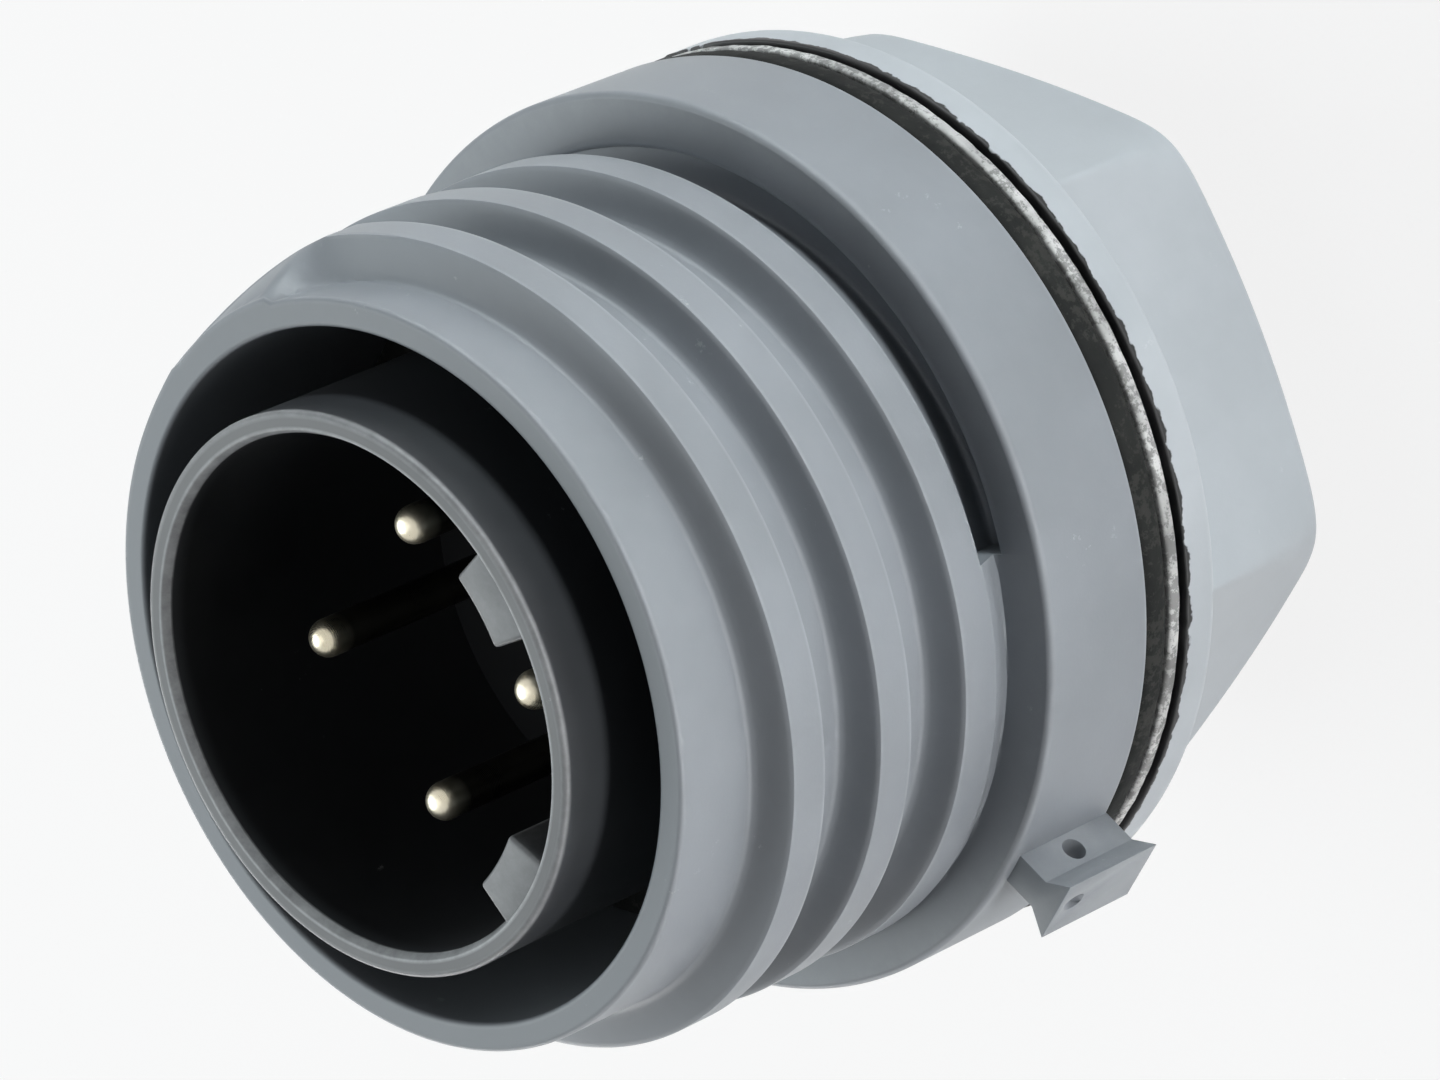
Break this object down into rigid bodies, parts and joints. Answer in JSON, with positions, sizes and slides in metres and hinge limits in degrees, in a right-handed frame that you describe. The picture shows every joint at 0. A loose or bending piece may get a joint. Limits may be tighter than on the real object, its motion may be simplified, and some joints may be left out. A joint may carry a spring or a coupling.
{
  "type": "circular power connector",
  "caption": "Panel-mount sealed circular power connector: coarse threaded shell, keyed shroud round male contacts, flange with gasket, and a collared hexagon nut on the rear barrel.",
  "frame": {"origin": "on the mating axis, in the rear face of the flange where the panel gasket seats", "axes": "+Z along the mating axis, out of the front; the contacts stand on the diagonals of X and Y"},
  "size_m": [0.0511, 0.048, 0.0553],
  "materials": {
    "shell_plastic": "satin moulded slate-grey plastic",
    "carrier_plastic": "satin moulded dark grey plastic",
    "plated_brass": "turned brass with a pale bright plating",
    "zinc_steel": "zinc-plated steel",
    "spring_steel": "dull spring steel",
    "rubber": "matt black rubber",
    "nylon": "natural nylon"
  },
  "bodies": {
    "body": {"housing": "shell_plastic", "pin_carrier": "carrier_plastic", "contact_pin_1": "plated_brass", "contact_pin_2": "plated_brass", "contact_pin_3": "plated_brass", "contact_pin_4": "plated_brass", "terminal_screw_1": "zinc_steel", "terminal_screw_2": "zinc_steel", "terminal_screw_3": "zinc_steel", "terminal_screw_4": "zinc_steel", "plug_seal": "rubber", "carrier_o_ring": "rubber", "carrier_clip": "spring_steel", "panel_gasket": "rubber"},
    "washer": {"slip_washer": "nylon"},
    "nut": {"hex_nut": "shell_plastic"}
  },
  "joints": [
    {"name": "nut_travel", "type": "slide", "parent": "body", "child": "washer", "axis": [0, 0, -1], "range_m": [0, 0.0051]},
    {"name": "nut_turn", "type": "hinge", "parent": "washer", "child": "nut", "pos_m": [0, 0, -0.01], "axis": [0, 0, -1], "range_deg": [0, 900]}
  ],
  "couplings": [
    {"joint": "nut_travel", "follows": "nut_turn", "m_per_rad": 0.00031831}
  ]
}
